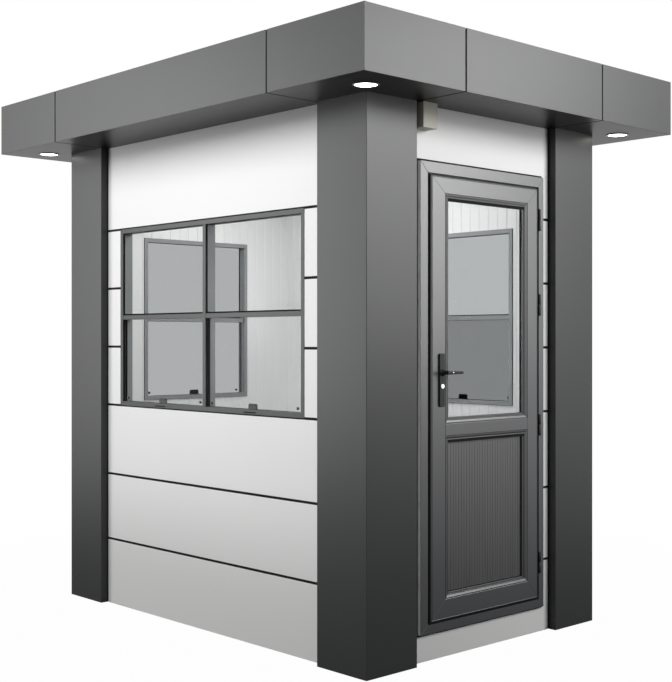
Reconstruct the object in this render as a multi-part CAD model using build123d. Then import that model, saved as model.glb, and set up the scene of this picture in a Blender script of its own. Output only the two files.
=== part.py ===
from build123d import *
import os

# Guard booth: a flat-roofed cabin with a folded column at each corner, board cladding
# on four walls, sliding windows on three sides and a part-glazed door on the fourth.
# Millimetres, Z up. The window front faces -Y, the door side faces +X, and the
# origin is on the ground under the middle of the booth.

os.makedirs("parts", exist_ok=True)

# Overall, measured over the corner columns
booth_width = 2290
booth_depth = 1520
fascia_height = 256
roof_overhang = 268
sheet = 3
fold_radius = 2.5
seat_gap = 0.3

# Corner columns and the posts inside them
column_face_x = 300
column_face_y = 292
front_setback = 38
side_setback = 40
post_size = 74
post_wall = 4

# Wall build-up from the outside in
cladding_thickness = 16
core_thickness = 28
lining_thickness = 6
ceiling_thickness = 8
shadow_gap = 8
board_joint = 7
window_joint = 2
door_joint = 9
course_heights = (334, 337, 357, 300, 300, 300)
courses_below_window = 3
courses_beside_window = 3

# Base and floor
rail_height = 100
rail_width = 60
joist_width = 50
joist_count = 3
deck_thickness = 18

# Roof
roof_panel_thickness = 200
curb_width = 30
coping_width = 33

# Recessed lights under the roof corners
light_offset = 85
light_flange_radius = 55
light_can_radius = 50
light_lens_radius = 45
light_flange_drop = 4
light_can_height = 16

# Sliding windows
front_window_width = 1440
side_window_width = 720
window_face = 22
window_depth = 54
mullion_face = 24
meeting_rail_height = 23
meeting_rail_depth = 23
meeting_rail_rise = 449
pane_thickness = 5
pane_edge = 6
track_width = 12
track_cut = 8
outer_track = 6
inner_track = 25
tab_width = 60
tab_height = 26
tab_depth = 10
peg_radius = 6
peg_inset = 33
peg_rise = 17
drain_length = 86
drain_height = 6
drain_depth = 3
drain_rise = 9

# Door frame, with a raised rim that stands proud of the cladding round the leaf
door_width = 826
door_height = 2002
wall_over_door = 238
door_offset = -6
door_frame_depth = 50
door_frame_proud = 17
door_frame_edge = 3
rim_side = 36
rim_rail = 45
rim_gap_side = 16
rim_gap_rail = 10
leaf_overlap = 12
leaf_gap = 8

# Door leaf
leaf_proud = 25
leaf_lip = 20
leaf_thickness = 60
leaf_edge_radius = 8
lock_stile_face = 90
hinge_stile_face = 77
top_rail_face = 76
bottom_rail_face = 82
middle_rail_height = 54
middle_rail_rise = 778
bead_width = 20
bead_bevel = 12
bead_step = 1.5
bead_back = 7
infill_recess = 33
infill_thickness = 20
infill_edge = 3
rib_pitch = 17.5
rib_groove = 3
rib_depth = 2
seal_under_leaf = 10

# Door hinges
hinge_stand_off = 15
hinge_rise = 24
hinge_radius = 6
hinge_pin_radius = 3
hinge_pin_clearance = 0.08
hinge_length = 100
hinge_arm = 4
hinge_foot = 16
hinge_heights = (212, 851, 1408, 1803)

# Lever handle on the lock stile
handle_inset = 62
lever_rise = 1106
cylinder_drop = 58
plate_width = 42
plate_thickness = 8
plate_over_lever = 82
plate_under_cylinder = 88
lever_length = 100
lever_height = 16
lever_tip_height = 12
lever_tip_chamfer = 4
lever_grip_depth = 12
lever_edge_radius = 3
lever_reach = 48
hub_radius = 9
spindle_radius = 4
spindle_clearance = 0.3
cylinder_radius = 10
cylinder_proud = 2.5

# Junction box under the soffit, beside the front column on the door side
box_width = 86
box_height = 108
box_proud = 60
box_offset = 9

# Levels and planes that follow from the sizes above
half_x = booth_width / 2
half_y = booth_depth / 2
floor_level = rail_height + deck_thickness
door_sill = floor_level
door_head = door_sill + door_height
soffit_height = door_head + wall_over_door
roof_top = soffit_height + fascia_height
wall_depth = cladding_thickness + core_thickness + lining_thickness
core_x = half_x - side_setback - cladding_thickness
core_y = half_y - front_setback - cladding_thickness
room_core_x = core_x - core_thickness
room_core_y = core_y - core_thickness
room_x = room_core_x - lining_thickness
room_y = room_core_y - lining_thickness
eave_x = half_x + roof_overhang
eave_y = half_y + roof_overhang
window_sill = sum(course_heights[:courses_below_window])
window_head = window_sill + sum(course_heights[courses_below_window:][:courses_beside_window])

# A wall's own frame: X along the wall to the right as seen from outside, Y into the
# room from the outer face of the cladding, Z up
front_wall = Location((0, -half_y + front_setback, 0))
rear_wall = Location((0, half_y - front_setback, 0), (0, 0, 180))
left_wall = Location((-half_x + side_setback, 0, 0), (0, 0, -90))
door_wall = Location((half_x - side_setback, 0, 0), (0, 0, 90))


def block(x0, x1, y0, y1, z0, z1):
    """A box from its low and high corners"""
    size = Box(x1 - x0, y1 - y0, z1 - z0, align=(Align.MIN, Align.MIN, Align.MIN))
    return Pos(x0, y0, z0) * size


def round_bar(radius, x, z, y0, y1):
    """A cylinder along Y"""
    bar = Cylinder(radius, y1 - y0, align=(Align.CENTER, Align.CENTER, Align.MIN))
    return Pos(x, y0, z) * Rot(-90, 0, 0) * bar


def upright(radius, x, y, z0, z1):
    """A cylinder along Z"""
    return Pos(x, y, z0) * Cylinder(radius, z1 - z0, align=(Align.CENTER, Align.CENTER, Align.MIN))


def four_corners(piece):
    """A piece made at the +X +Y corner, mirrored to all four"""
    other_side = piece.mirror(Plane.YZ)
    return [piece, other_side, piece.mirror(Plane.XZ), other_side.mirror(Plane.XZ)]


def pieces(shapes):
    """Every solid of a list of shapes, as one compound"""
    return Compound(children=[solid for shape in shapes for solid in shape.solids()])


# Base and floor

def base_rails():
    rail = block(-room_core_x, room_core_x, core_y - rail_width, core_y, 0, rail_height)
    return pieces([rail, rail.mirror(Plane.XZ)])


def base_joists():
    reach = core_y - rail_width
    bay = (core_x - rail_width) * 2 / (joist_count + 1)
    bars = []
    for side in (-1, 1):
        middle = side * (core_x - rail_width / 2)
        bars.append(block(middle - rail_width / 2, middle + rail_width / 2, -reach, reach, 0, rail_height))
    for index in range(joist_count):
        middle = -core_x + rail_width + (index + 1) * bay
        bars.append(block(middle - joist_width / 2, middle + joist_width / 2, -reach, reach, 0, rail_height))
    return pieces(bars)


def floor_deck():
    deck = block(-core_x, core_x, -core_y, core_y, rail_height, floor_level)
    notch = block(room_core_x, core_x, room_core_y, core_y, rail_height, floor_level)
    for corner in four_corners(notch):
        deck -= corner
    return deck


# Corner posts and the folded columns round them

def corner_posts():
    outer = block(room_core_x, room_core_x + post_size, room_core_y, room_core_y + post_size, 0, soffit_height)
    bore = block(
        room_core_x + post_wall,
        room_core_x + post_size - post_wall,
        room_core_y + post_wall,
        room_core_y + post_size - post_wall,
        0,
        soffit_height,
    )
    return pieces(four_corners(outer - bore))


def corner_column():
    height = soffit_height + sheet
    outside = RectangleRounded(column_face_x, column_face_y, fold_radius)
    inside = Rectangle(column_face_x - 2 * sheet, column_face_y - 2 * sheet)
    middle = (half_x - column_face_x / 2, half_y - column_face_y / 2, 0)
    wrap = Pos(*middle) * extrude(outside - inside, height)
    return wrap - block(0, core_x, 0, core_y, 0, height)


# Walls

def wall_core(half_length, opening_middle, opening_width, opening_sill, opening_head):
    """Two piers beside an opening, a panel over it and, where it has a sill, one under it"""
    near = opening_middle - opening_width / 2
    far = opening_middle + opening_width / 2
    y0 = cladding_thickness
    y1 = cladding_thickness + core_thickness
    parts = [
        block(-half_length, near, y0, y1, floor_level, soffit_height),
        block(far, half_length, y0, y1, floor_level, soffit_height),
        block(near + seat_gap, far - seat_gap, y0, y1, opening_head, soffit_height),
    ]
    if opening_sill > floor_level:
        parts.append(block(near + seat_gap, far - seat_gap, y0, y1, floor_level, opening_sill))
    return pieces(parts)


def wall_cladding(joint, half_length, opening_middle, opening_width, opening_sill, opening_head):
    """Boards in level courses with an open joint between them, cut round the opening"""
    levels = [0]
    for height in course_heights:
        levels.append(levels[-1] + height)
    levels.append(soffit_height)
    hole = block(
        opening_middle - opening_width / 2 - joint,
        opening_middle + opening_width / 2 + joint,
        0,
        cladding_thickness,
        opening_sill - joint,
        opening_head + joint,
    )
    boards = []
    for low, high in zip(levels[:-1], levels[1:]):
        bottom = low if low == 0 else low + board_joint / 2
        top = high if high == soffit_height else high - board_joint / 2
        boards.append(block(-half_length, half_length, 0, cladding_thickness, bottom, top) - hole)
    return pieces(boards)


def wall_lining(half_length, opening_middle, opening_width, opening_sill, opening_head):
    """The inner skin of one wall, from the floor to the ceiling"""
    y0 = cladding_thickness + core_thickness
    skin = block(-half_length, half_length, y0, wall_depth, floor_level, soffit_height - ceiling_thickness)
    near = opening_middle - opening_width / 2
    far = opening_middle + opening_width / 2
    return skin - block(near, far, y0, wall_depth, opening_sill, opening_head)


def ceiling_panel():
    return block(
        -room_core_x, room_core_x, -room_core_y, room_core_y, soffit_height - ceiling_thickness, soffit_height
    )


# Roof

def light_cut(radius, z0, z1):
    return upright(radius, half_x + light_offset, half_y + light_offset, z0, z1)


def roof_panel():
    bottom = soffit_height + sheet
    reach_x = eave_x - sheet
    reach_y = eave_y - sheet
    slab = block(-reach_x, reach_x, -reach_y, reach_y, bottom, bottom + roof_panel_thickness)
    slab += block(-core_x, core_x, -core_y, core_y, soffit_height, bottom)
    light_x = half_x + light_offset
    light_y = half_y + light_offset
    reach = light_can_radius + seat_gap
    pocket_top = soffit_height + light_can_height + sheet
    pocket = block(light_x - reach, light_x + reach, light_y - reach, light_y + reach, bottom, pocket_top)
    for corner in four_corners(pocket):
        slab -= corner
    return slab


def roof_curbs():
    bottom = soffit_height + sheet + roof_panel_thickness
    top = roof_top - sheet
    reach_x = eave_x - sheet
    reach_y = eave_y - sheet
    long_curb = block(-reach_x, reach_x, reach_y - curb_width, reach_y, bottom, top)
    end = reach_y - curb_width - seat_gap
    short_curb = block(reach_x - curb_width, reach_x, -end, end, bottom, top)
    return pieces([long_curb, long_curb.mirror(Plane.XZ), short_curb, short_curb.mirror(Plane.YZ)])


def folded_tray(x0, x1, y0, y1, open_x, open_y):
    """Soffit, fascia and coping folded from one sheet, closed towards the eaves"""
    inner_x = x1 if open_x else x1 - sheet
    inner_y = y1 if open_y else y1 - sheet
    lip_x = x1 if open_x else x1 - coping_width
    lip_y = y1 if open_y else y1 - coping_width
    tray = block(x0, x1, y0, y1, soffit_height, roof_top)
    tray -= block(x0, inner_x, y0, inner_y, soffit_height + sheet, roof_top - sheet)
    tray -= block(x0, lip_x, y0, lip_y, roof_top - sheet, roof_top)
    return tray


def fascia_corners():
    tray = folded_tray(half_x - column_face_x, eave_x, half_y - column_face_y, eave_y, False, False)
    tray -= block(half_x - column_face_x, half_x, half_y - column_face_y, half_y, soffit_height, soffit_height + sheet)
    tray -= light_cut(light_can_radius + seat_gap, soffit_height, soffit_height + sheet)
    return pieces(four_corners(tray))


def fascia_middles():
    reach_x = half_x - column_face_x - shadow_gap
    reach_y = half_y - column_face_y - shadow_gap
    rear = folded_tray(-reach_x, reach_x, core_y, eave_y, True, False)
    side = folded_tray(core_x, eave_x, -reach_y, reach_y, False, True)
    return pieces([rear, rear.mirror(Plane.XZ), side, side.mirror(Plane.YZ)])


def downlight_rings():
    bottom = soffit_height - light_flange_drop
    ring = light_cut(light_flange_radius, bottom, soffit_height)
    ring += light_cut(light_can_radius, bottom, soffit_height + light_can_height)
    ring -= light_cut(light_lens_radius + seat_gap, bottom, soffit_height + light_can_height - sheet)
    return pieces(four_corners(ring))


def downlight_lenses():
    bottom = soffit_height - light_flange_drop / 2
    return pieces(four_corners(light_cut(light_lens_radius, bottom, soffit_height + light_can_height - sheet)))


# Sliding windows: a fixed upper pane and a lower pane that lifts behind it in each bay

def window_bays(width, count):
    """Left and right edge of the daylight of each bay"""
    inner = width - 2 * window_face
    bay = (inner - (count - 1) * mullion_face) / count
    edges = []
    for index in range(count):
        left = -inner / 2 + index * (bay + mullion_face)
        edges.append((left, left + bay))
    return edges


def window_frame(width, count):
    frame = block(-width / 2, width / 2, 0, window_depth, window_sill, window_head)
    low = window_sill + window_face
    high = window_head - window_face
    for left, right in window_bays(width, count):
        frame -= block(left, right, 0, window_depth, low, high)
        near = left - track_cut
        far = right + track_cut
        frame -= block(near, far, outer_track, outer_track + track_width, low, high + track_cut)
        frame -= block(near, far, inner_track, inner_track + track_width, low - track_cut, high)
        middle = (left + right) / 2
        drain = window_sill + drain_rise
        frame -= block(
            middle - drain_length / 2,
            middle + drain_length / 2,
            0,
            drain_depth,
            drain - drain_height / 2,
            drain + drain_height / 2,
        )
    return frame


def meeting_rails(width, count):
    middle = window_sill + meeting_rail_rise
    y0 = (inner_track - meeting_rail_depth) / 2
    rails = []
    for left, right in window_bays(width, count):
        rails.append(
            block(
                left,
                right,
                y0,
                y0 + meeting_rail_depth,
                middle - meeting_rail_height / 2,
                middle + meeting_rail_height / 2,
            )
        )
    return rails


def window_panes(width, count):
    middle = window_sill + meeting_rail_rise
    low = window_sill + window_face - pane_edge
    high = window_head - window_face + pane_edge
    panes = []
    for left, right in window_bays(width, count):
        x0 = left - pane_edge
        x1 = right + pane_edge
        upper_low = middle + meeting_rail_height / 2
        lower_high = middle + meeting_rail_height / 2
        panes.append(block(x0, x1, outer_track, outer_track + pane_thickness, upper_low, high))
        panes.append(block(x0, x1, inner_track, inner_track + pane_thickness, low, lower_high))
    return pieces(panes)


def latch_tabs(width, count):
    low = window_sill + window_face
    tabs = []
    for left, right in window_bays(width, count):
        middle = (left + right) / 2
        tabs.append(
            block(
                middle - tab_width / 2,
                middle + tab_width / 2,
                inner_track - tab_depth,
                inner_track,
                low,
                low + tab_height,
            )
        )
    return tabs


def pane_pegs(width, count):
    level = window_sill + window_face + peg_rise
    pegs = []
    for left, right in window_bays(width, count):
        for x in (left + peg_inset, right - peg_inset):
            pegs.append(round_bar(peg_radius, x, level, inner_track - tab_depth, inner_track))
    return pegs


# Door, in the door wall's own frame

door_left = door_offset - door_width / 2
door_right = door_offset + door_width / 2
rim_left = door_left + rim_side
rim_right = door_right - rim_side
rim_low = door_sill + rim_rail
rim_high = door_head - rim_rail
leaf_left = rim_left + rim_gap_side
leaf_right = rim_right - rim_gap_side
leaf_bottom = rim_low + rim_gap_rail
leaf_top = rim_high - rim_gap_rail
lip_back = leaf_lip - leaf_proud
leaf_back = leaf_thickness - leaf_proud
stile_left = leaf_left + lock_stile_face
stile_right = leaf_right - hinge_stile_face
bottom_rail_top = leaf_bottom + bottom_rail_face
middle_rail_bottom = leaf_bottom + middle_rail_rise
middle_rail_top = middle_rail_bottom + middle_rail_height
top_rail_bottom = leaf_top - top_rail_face
infill_front = -leaf_proud + infill_recess
infill_back = infill_front + infill_thickness
lever_x = leaf_left + handle_inset
lever_z = door_sill + lever_rise
cylinder_z = lever_z - cylinder_drop
hinge_x = leaf_right + hinge_stand_off
apertures = ((bottom_rail_top, middle_rail_bottom), (middle_rail_top, top_rail_bottom))


def ring(x0, x1, y0, y1, z0, z1, side, rail):
    """A rectangular frame with members of one face width at the sides and one above and below"""
    return block(x0, x1, y0, y1, z0, z1) - block(x0 + side, x1 - side, y0, y1, z0 + rail, z1 - rail)


def front_edges(piece):
    """The edges round the face of a piece that looks out of the wall"""
    return piece.faces().sort_by(Axis.Y)[0].edges()


def door_frame():
    front = -door_frame_proud
    outside = block(door_left, door_right, front, door_frame_depth, door_sill, door_head)
    outside = fillet(front_edges(outside), door_frame_edge)
    near = leaf_left + leaf_overlap
    far = leaf_right - leaf_overlap
    low = leaf_bottom + leaf_overlap
    high = leaf_top - leaf_overlap
    outside -= block(near, far, 0, door_frame_depth, low, high)
    return outside - block(rim_left, rim_right, front, 0, rim_low, rim_high)


def door_seal():
    """A flat gasket on the floor of the slot between the rim and the leaf"""
    side = rim_gap_side + seal_under_leaf
    rail = rim_gap_rail + seal_under_leaf
    return ring(rim_left, rim_right, lip_back + seat_gap, 0, rim_low, rim_high, side, rail)


def leaf_frame():
    lip = block(leaf_left, leaf_right, -leaf_proud, lip_back, leaf_bottom, leaf_top)
    lip = fillet(front_edges(lip), leaf_edge_radius)
    inset = leaf_overlap + leaf_gap
    body = block(leaf_left + inset, leaf_right - inset, lip_back, leaf_back, leaf_bottom + inset, leaf_top - inset)
    frame = lip + body
    for low, high in apertures:
        frame -= block(stile_left, stile_right, -leaf_proud, leaf_back, low, high)
    frame -= round_bar(spindle_radius + spindle_clearance, lever_x, lever_z, -leaf_proud, leaf_back)
    return frame


def glazing_bead(low, high):
    """The bevelled bead outside the infill of one aperture, and the flat one inside it"""
    crest = -leaf_proud + bead_step
    outer_edge = Rectangle(stile_right - stile_left, high - low)
    inner_edge = Rectangle(stile_right - stile_left - 2 * bead_width, high - low - 2 * bead_width)
    middle = ((stile_left + stile_right) / 2, crest, (low + high) / 2)
    mouth = Plane(origin=middle, x_dir=(1, 0, 0), z_dir=(0, -1, 0))
    throat = mouth.offset(-bead_bevel)
    outside = ring(stile_left, stile_right, crest, infill_front, low, high, bead_width, bead_width)
    outside -= loft([mouth * outer_edge, throat * inner_edge])
    inside = ring(stile_left, stile_right, infill_back, infill_back + bead_back, low, high, bead_width, bead_width)
    return [outside, inside]


def glazing_beads():
    return pieces([bead for low, high in apertures for bead in glazing_bead(low, high)])


def infill(low, high):
    edge = infill_edge
    return block(stile_left + edge, stile_right - edge, infill_front, infill_back, low + edge, high - edge)


def ribbed_panel():
    low, high = apertures[0]
    panel = infill(low, high)
    visible = stile_right - stile_left - 2 * bead_width
    grooves = int(visible / rib_pitch)
    start = (stile_left + stile_right) / 2 - (grooves - 1) * rib_pitch / 2
    for index in range(grooves):
        x = start + index * rib_pitch
        panel -= block(
            x - rib_groove / 2,
            x + rib_groove / 2,
            infill_front,
            infill_front + rib_depth,
            low + bead_width,
            high - bead_width,
        )
    return panel


def hinge_frame_halves():
    """The lower knuckle of each hinge, with its pin and the foot on the rim of the door frame"""
    foot_back = -door_frame_proud
    foot_front = foot_back - hinge_arm
    halves = []
    for rise in hinge_heights:
        middle = door_sill + rise
        low = middle - hinge_length / 2
        half = upright(hinge_radius, hinge_x, -hinge_rise, low, middle - seat_gap)
        half += upright(hinge_pin_radius, hinge_x, -hinge_rise, low, middle + hinge_length / 2 - hinge_arm)
        half += block(hinge_x, hinge_x + hinge_foot, foot_front, foot_back, low, middle - seat_gap)
        halves.append(half)
    return pieces(halves)


def hinge_leaf_halves():
    """The upper knuckle of each hinge, with its bore and the bent arm on the edge of the leaf"""
    arm_front = leaf_edge_radius - leaf_proud
    arm_back = arm_front + hinge_arm
    web = hinge_x - hinge_radius
    halves = []
    for rise in hinge_heights:
        middle = door_sill + rise
        high = middle + hinge_length / 2
        half = upright(hinge_radius, hinge_x, -hinge_rise, middle, high)
        half += block(web, web + hinge_arm, -hinge_rise, arm_back, middle, high)
        half += block(leaf_right, web + hinge_arm, arm_front, arm_back, middle, high)
        bore = hinge_pin_radius + hinge_pin_clearance
        half -= upright(bore, hinge_x, -hinge_rise, middle, high - hinge_arm + seat_gap)
        halves.append(half)
    return pieces(halves)


def handle_plates():
    low = cylinder_z - plate_under_cylinder
    high = lever_z + plate_over_lever
    plates = []
    for y0, y1 in ((-leaf_proud - plate_thickness, -leaf_proud), (leaf_back, leaf_back + plate_thickness)):
        plate = block(lever_x - plate_width / 2, lever_x + plate_width / 2, y0, y1, low, high)
        plate -= round_bar(spindle_radius + spindle_clearance, lever_x, lever_z, y0, y1)
        plate -= round_bar(cylinder_radius + seat_gap, lever_x, cylinder_z, y0, y1)
        plates.append(plate)
    return pieces(plates)


def lever_grip(y0, y1):
    """A tapered bar from the spindle towards the hinges, chamfered at its tip"""
    root = lever_height / 2
    end = lever_tip_height / 2
    outline = Polyline(
        (0, -root),
        (lever_length - lever_tip_chamfer, -end),
        (lever_length, lever_tip_chamfer - end),
        (lever_length, end - lever_tip_chamfer),
        (lever_length - lever_tip_chamfer, end),
        (0, root),
        close=True,
    )
    face = Plane(origin=(lever_x, y1, lever_z), x_dir=(1, 0, 0), z_dir=(0, -1, 0))
    grip = extrude(face * make_face(outline), y1 - y0)
    return fillet(grip.faces().sort_by(Axis.Y)[0].edges() + grip.faces().sort_by(Axis.Y)[-1].edges(), lever_edge_radius)


def lever_handle():
    """Outer and inner lever on one spindle"""
    outside = -leaf_proud
    front = outside - lever_reach
    back = leaf_back + lever_reach
    outer_plate = outside - plate_thickness - seat_gap
    inner_plate = leaf_back + plate_thickness + seat_gap
    lever = round_bar(spindle_radius, lever_x, lever_z, outer_plate, inner_plate)
    lever += round_bar(hub_radius, lever_x, lever_z, front, outer_plate)
    lever += round_bar(hub_radius, lever_x, lever_z, inner_plate, back)
    lever += lever_grip(front, front + lever_grip_depth)
    lever += lever_grip(back - lever_grip_depth, back)
    return lever


def lock_cylinder():
    reach = plate_thickness + cylinder_proud
    outer = round_bar(cylinder_radius, lever_x, cylinder_z, -leaf_proud - reach, -leaf_proud)
    inner = round_bar(cylinder_radius, lever_x, cylinder_z, leaf_back, leaf_back + reach)
    return pieces([outer, inner])


def junction_box():
    left = -half_y + column_face_y + shadow_gap + box_offset
    return block(left, left + box_width, -box_proud, 0, soffit_height - box_height, soffit_height)


# The booth put together

walls = (
    ("front", front_wall, room_core_x, half_x - column_face_x, front_window_width),
    ("rear", rear_wall, room_core_x, half_x - column_face_x, front_window_width),
    ("left", left_wall, room_core_y, half_y - column_face_y, side_window_width),
)
windows = (
    ("front", front_wall, front_window_width, 2),
    ("rear", rear_wall, front_window_width, 2),
    ("left", left_wall, side_window_width, 1),
)
doorway = (door_offset, door_width, door_sill, door_head)

nodes = {
    "base_rails": base_rails(),
    "base_joists": base_joists(),
    "floor_deck": floor_deck(),
    "corner_posts": corner_posts(),
    "ceiling_panel": ceiling_panel(),
    "roof_panel": roof_panel(),
    "roof_curbs": roof_curbs(),
    "fascia_corners": fascia_corners(),
    "fascia_middles": fascia_middles(),
    "downlight_rings": downlight_rings(),
    "downlight_lenses": downlight_lenses(),
}

column_names = ("column_rear_right", "column_rear_left", "column_front_right", "column_front_left")
for name, column in zip(column_names, four_corners(corner_column())):
    nodes[name] = column

linings = []
for side, place, core_reach, face_reach, opening in walls:
    window_hole = (0, opening, window_sill, window_head)
    nodes[side + "_wall"] = place * wall_core(core_reach, *window_hole)
    nodes[side + "_cladding"] = place * wall_cladding(window_joint, face_reach - shadow_gap, *window_hole)
    lining_reach = core_reach if core_reach == room_core_x else room_y - seat_gap
    linings.append(place * wall_lining(lining_reach, *window_hole))

nodes["door_wall"] = door_wall * wall_core(room_core_y, *doorway)
nodes["door_wall_cladding"] = door_wall * wall_cladding(door_joint, half_y - column_face_y - shadow_gap, *doorway)
linings.append(door_wall * wall_lining(room_y - seat_gap, *doorway))
nodes["wall_lining"] = pieces(linings)

rails = []
tabs = []
pegs = []
for side, place, width, count in windows:
    nodes[side + "_window_frame"] = place * window_frame(width, count)
    nodes[side + "_window_panes"] = place * window_panes(width, count)
    rails += [place * rail for rail in meeting_rails(width, count)]
    tabs += [place * tab for tab in latch_tabs(width, count)]
    pegs += [place * peg for peg in pane_pegs(width, count)]
nodes["window_meeting_rails"] = pieces(rails)
nodes["window_latch_tabs"] = pieces(tabs)
nodes["window_pane_pegs"] = pieces(pegs)

door_pieces = {
    "door_frame": door_frame(),
    "door_seal": door_seal(),
    "door_leaf_frame": leaf_frame(),
    "door_glazing_beads": glazing_beads(),
    "door_glass": infill(*apertures[1]),
    "door_ribbed_panel": ribbed_panel(),
    "hinge_frame_halves": hinge_frame_halves(),
    "hinge_leaf_halves": hinge_leaf_halves(),
    "handle_plates": handle_plates(),
    "lever_handle": lever_handle(),
    "lock_cylinder": lock_cylinder(),
    "junction_box": junction_box(),
}
for name, piece in door_pieces.items():
    nodes[name] = door_wall * piece

for name, piece in nodes.items():
    export_step(piece, "parts/" + name + ".step")

hinge_point = (half_x - side_setback + hinge_rise, hinge_x, 0)
lever_point = (half_x - side_setback, lever_x, lever_z)
print("door hinge axis through", hinge_point)
print("lever axis through", lever_point)
print("room", room_x, room_y, floor_level, soffit_height - ceiling_thickness)
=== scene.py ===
import math

import bmesh
import bpy
from mathutils import Matrix, Vector


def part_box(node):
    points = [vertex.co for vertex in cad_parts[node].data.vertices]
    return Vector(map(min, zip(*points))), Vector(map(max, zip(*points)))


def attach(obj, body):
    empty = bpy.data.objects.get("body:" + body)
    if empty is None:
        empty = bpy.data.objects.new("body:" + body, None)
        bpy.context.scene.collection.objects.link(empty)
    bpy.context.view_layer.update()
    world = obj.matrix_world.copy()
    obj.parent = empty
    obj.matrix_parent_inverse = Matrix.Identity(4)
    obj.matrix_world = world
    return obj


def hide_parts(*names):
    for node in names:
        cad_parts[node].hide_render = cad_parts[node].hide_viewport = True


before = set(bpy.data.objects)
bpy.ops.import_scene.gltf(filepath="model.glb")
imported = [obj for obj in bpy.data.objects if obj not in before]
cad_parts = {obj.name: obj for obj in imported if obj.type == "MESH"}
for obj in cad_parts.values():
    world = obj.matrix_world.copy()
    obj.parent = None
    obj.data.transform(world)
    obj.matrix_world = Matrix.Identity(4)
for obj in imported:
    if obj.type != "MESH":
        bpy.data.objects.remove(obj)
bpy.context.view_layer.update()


# Base rails, joists and corner posts
# Rolled steel sections, cut to length and welded, then hot-dip galvanised: a grey metal
# with the flat crystals of the zinc, a little different in tone and gloss from each other.
MM = 0.001
SPANGLE = 14 * MM
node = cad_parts


def tone(code, alpha=1.0):
    """A linear colour from an sRGB hex code"""
    shares = [int(code[place:place + 2], 16) / 255 for place in (1, 3, 5)]
    linear = [share / 12.92 if share <= 0.04045 else ((share + 0.055) / 1.055) ** 2.4 for share in shares]
    return (*linear, alpha)


def add(tree, kind, sockets=None, **settings):
    """Adds a node: settings are its own properties, sockets hold values or the sockets that feed them"""
    made = tree.nodes.new(kind)
    for name, value in settings.items():
        setattr(made, name, value)
    for name, value in (sockets or {}).items():
        if isinstance(value, bpy.types.NodeSocket):
            tree.links.new(value, made.inputs[name])
        else:
            made.inputs[name].default_value = value
    return made


def new_finish(name):
    """A material with an empty tree, and the object's own coordinates in it"""
    made = bpy.data.materials.new(name)
    made.use_nodes = True
    tree = made.node_tree
    tree.nodes.clear()
    place = add(tree, "ShaderNodeTexCoord").outputs["Object"]
    return made, tree, place


def close(tree, shader):
    """Joins the last shader to the material's output"""
    add(tree, "ShaderNodeOutputMaterial", {"Surface": shader.outputs[0]})


def dress(finish, *names):
    """Gives CAD nodes one finish"""
    for name in names:
        node[name].data.materials.clear()
        node[name].data.materials.append(finish)


galvanised_steel, tree, place = new_finish("galvanised_steel")
spangle = add(tree, "ShaderNodeTexVoronoi", {"Vector": place, "Scale": 1 / SPANGLE})
shine = add(tree, "ShaderNodeMapRange", {"Value": spangle.outputs["Color"], "To Min": 0.36, "To Max": 0.56})
zinc = add(tree, "ShaderNodeMix", {0: spangle.outputs["Color"], 6: tone("#8c9194"), 7: tone("#b3b8ba")},
           data_type="RGBA")
close(tree, add(tree, "ShaderNodeBsdfPrincipled", {
    "Base Color": zinc.outputs[2], "Metallic": 1.0, "Roughness": shine.outputs[0],
}))
dress(galvanised_steel, "base_rails", "base_joists", "corner_posts")


# Floor board
# Film-faced plywood on the joists, with a grey vinyl covering glued over it: matt and
# slightly soft, with small darker and lighter chips all through it.
CHIP = 5 * MM

vinyl, tree, place = new_finish("speckled_vinyl")
chips = add(tree, "ShaderNodeTexVoronoi", {"Vector": place, "Scale": 1 / CHIP})
scatter = add(tree, "ShaderNodeMapRange", {"Value": chips.outputs["Color"], "From Min": 0.35, "From Max": 0.65})
cover = add(tree, "ShaderNodeMix", {0: scatter.outputs[0], 6: tone("#74777a"), 7: tone("#8d9092")}, data_type="RGBA")
worn = add(tree, "ShaderNodeTexNoise", {"Vector": place, "Scale": 1 / (180 * MM), "Detail": 3.0})
matt = add(tree, "ShaderNodeMapRange", {"Value": worn.outputs[0], "To Min": 0.42, "To Max": 0.62})
close(tree, add(tree, "ShaderNodeBsdfPrincipled", {
    "Base Color": cover.outputs[2], "Roughness": matt.outputs[0], "IOR": 1.5,
}))
dress(vinyl, "floor_deck")


# Folded columns
# 3 mm sheet, folded on a press brake round each corner post and polyester powder coated
# in anthracite: a satin skin with a very fine orange peel that drifts a little in tone.
ORANGE_PEEL = 2.5 * MM
DRIFT = 450 * MM

powder_coat, tree, place = new_finish("anthracite_powder_coat")
peel = add(tree, "ShaderNodeTexNoise", {"Vector": place, "Scale": 1 / ORANGE_PEEL, "Detail": 2.0})
drift = add(tree, "ShaderNodeTexNoise", {"Vector": place, "Scale": 1 / DRIFT, "Detail": 1.0})
coat = add(tree, "ShaderNodeMix", {0: drift.outputs[0], 6: tone("#313232"), 7: tone("#363737")}, data_type="RGBA")
satin = add(tree, "ShaderNodeMapRange", {"Value": peel.outputs[0], "To Min": 0.33, "To Max": 0.41})
skin = add(tree, "ShaderNodeBump", {"Height": peel.outputs[0], "Strength": 0.12, "Distance": 0.1 * MM})
close(tree, add(tree, "ShaderNodeBsdfPrincipled", {
    "Base Color": coat.outputs[2], "Roughness": satin.outputs[0], "IOR": 1.5, "Normal": skin.outputs[0],
    "Specular IOR Level": 0.37,
}))
dress(powder_coat, "column_front_right", "column_front_left", "column_rear_right", "column_rear_left")


# Wall cores
# Studs and insulation behind a black breather membrane, which shows only as the dark
# bottom of the open joints: a woven film without any gloss.
MEMBRANE_THREAD = 3 * MM

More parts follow.
